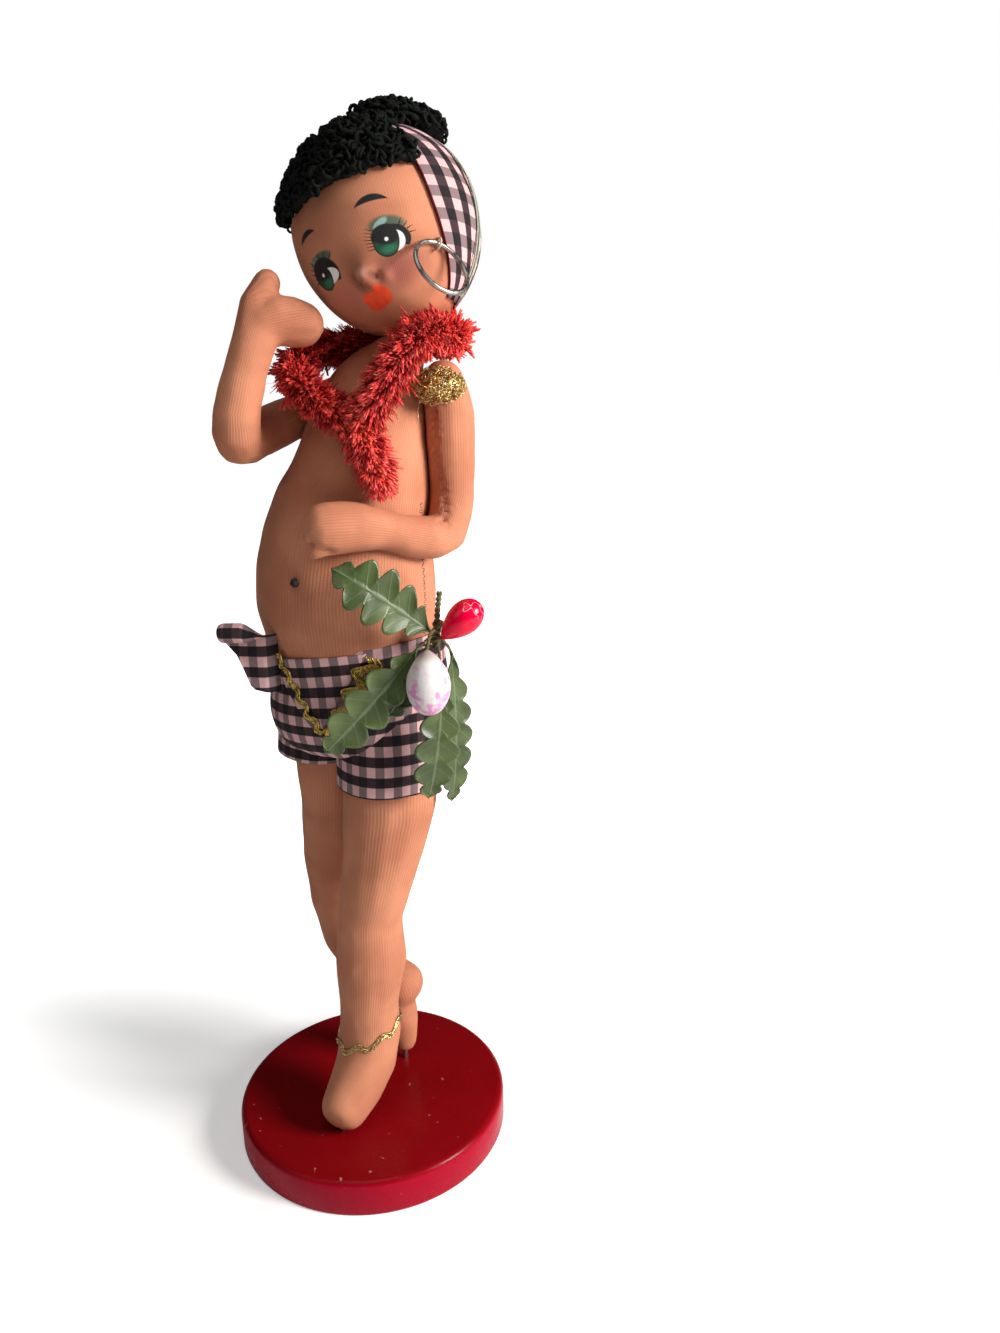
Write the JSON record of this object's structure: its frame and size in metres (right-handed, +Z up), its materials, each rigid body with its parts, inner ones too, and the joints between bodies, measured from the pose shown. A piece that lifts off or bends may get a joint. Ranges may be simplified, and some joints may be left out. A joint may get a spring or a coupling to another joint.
{
  "type": "stockinette pose doll dressed as a hula dancer on a round base",
  "caption": "Wire-armature knit pose doll dressed as a hula dancer, with gingham shorts and scarf, straw garland, leaf corsage and hoop earring, on a lacquered round base.",
  "frame": {"origin": "centre of the base's underside", "axes": "+Z up through the doll, -Y the way the doll's body faces, +X the doll's left side"},
  "size_m": [0.1069, 0.102, 0.3621],
  "materials": {
    "lacquered_wood": "deep red lacquer over turned wood",
    "knit_skin": "ribbed nylon stockinette over stuffing",
    "gingham": "woven black and pale pink gingham",
    "yarn_curls": "black boucle yarn",
    "red_straw": "bushy red straw garland",
    "gold_braid": "metallic gold braid",
    "armature_steel": "plain drawn wire",
    "earring_pewter": "dull grey metal wire",
    "florist_wire": "twisted paper-wrapped florist wire",
    "leaf_fabric": "waxed olive green artificial leaf",
    "spotted_egg": "matt white speckled with pink",
    "red_berry": "glossy red lacquer",
    "thread": "pale sewing thread",
    "black_thread": "black embroidery thread"
  },
  "bodies": {
    "root": {"base_disc": "lacquered_wood", "torso": "knit_skin", "left_leg": "knit_skin", "right_leg": "knit_skin", "navel": "black_thread", "left_leg_wire": "armature_steel", "right_leg_wire": "armature_steel", "spine_wire": "armature_steel", "shorts": "gingham", "wrap_panel": "gingham", "hip_flare": "gingham", "ricrac_right": "gold_braid", "ricrac_left": "gold_braid", "anklet": "gold_braid", "shoulder_tinsel": "gold_braid", "lei_right": "red_straw", "lei_left": "red_straw", "lei_back_right": "red_straw", "lei_back_left": "red_straw", "leaf_upper": "leaf_fabric", "leaf_lower": "leaf_fabric", "leaf_middle": "leaf_fabric", "leaf_outer": "leaf_fabric", "leaf_small": "leaf_fabric", "corsage_knot": "florist_wire", "egg_stem": "florist_wire", "bud_stem": "florist_wire", "egg_fruit": "spotted_egg", "bud_fruit": "red_berry"},
    "earring": {"earring_hoop": "earring_pewter"},
    "head": {"head": "knit_skin", "headscarf": "gingham", "hair_fringe": "yarn_curls", "hair_topknot": "yarn_curls", "earring_stitch": "thread"},
    "left_arm": {"left_arm": "knit_skin", "left_arm_wire": "armature_steel"},
    "right_arm": {"right_arm": "knit_skin", "right_arm_wire": "armature_steel"}
  },
  "joints": [
    {"name": "head_turn", "type": "hinge", "parent": "root", "child": "head", "pos_m": [0.0154, 0.0107, 0.3262], "axis": [-0.3633, 0.1297, 0.9226], "range_deg": [-10, 10]},
    {"name": "left_shoulder", "type": "hinge", "parent": "root", "child": "left_arm", "pos_m": [0.0358, 0.0124, 0.258], "axis": [0, 0, 1], "range_deg": [0, 45]},
    {"name": "right_shoulder", "type": "hinge", "parent": "root", "child": "right_arm", "pos_m": [-0.0114, 0.0065, 0.272], "axis": [0, 0, -1], "range_deg": [0, 32]},
    {"name": "earring_swing", "type": "hinge", "parent": "head", "child": "earring", "pos_m": [0.04195, -0.00306, 0.31886], "axis": [0.4882, 0.8301, -0.2695], "range_deg": [-12, 20]}
  ]
}
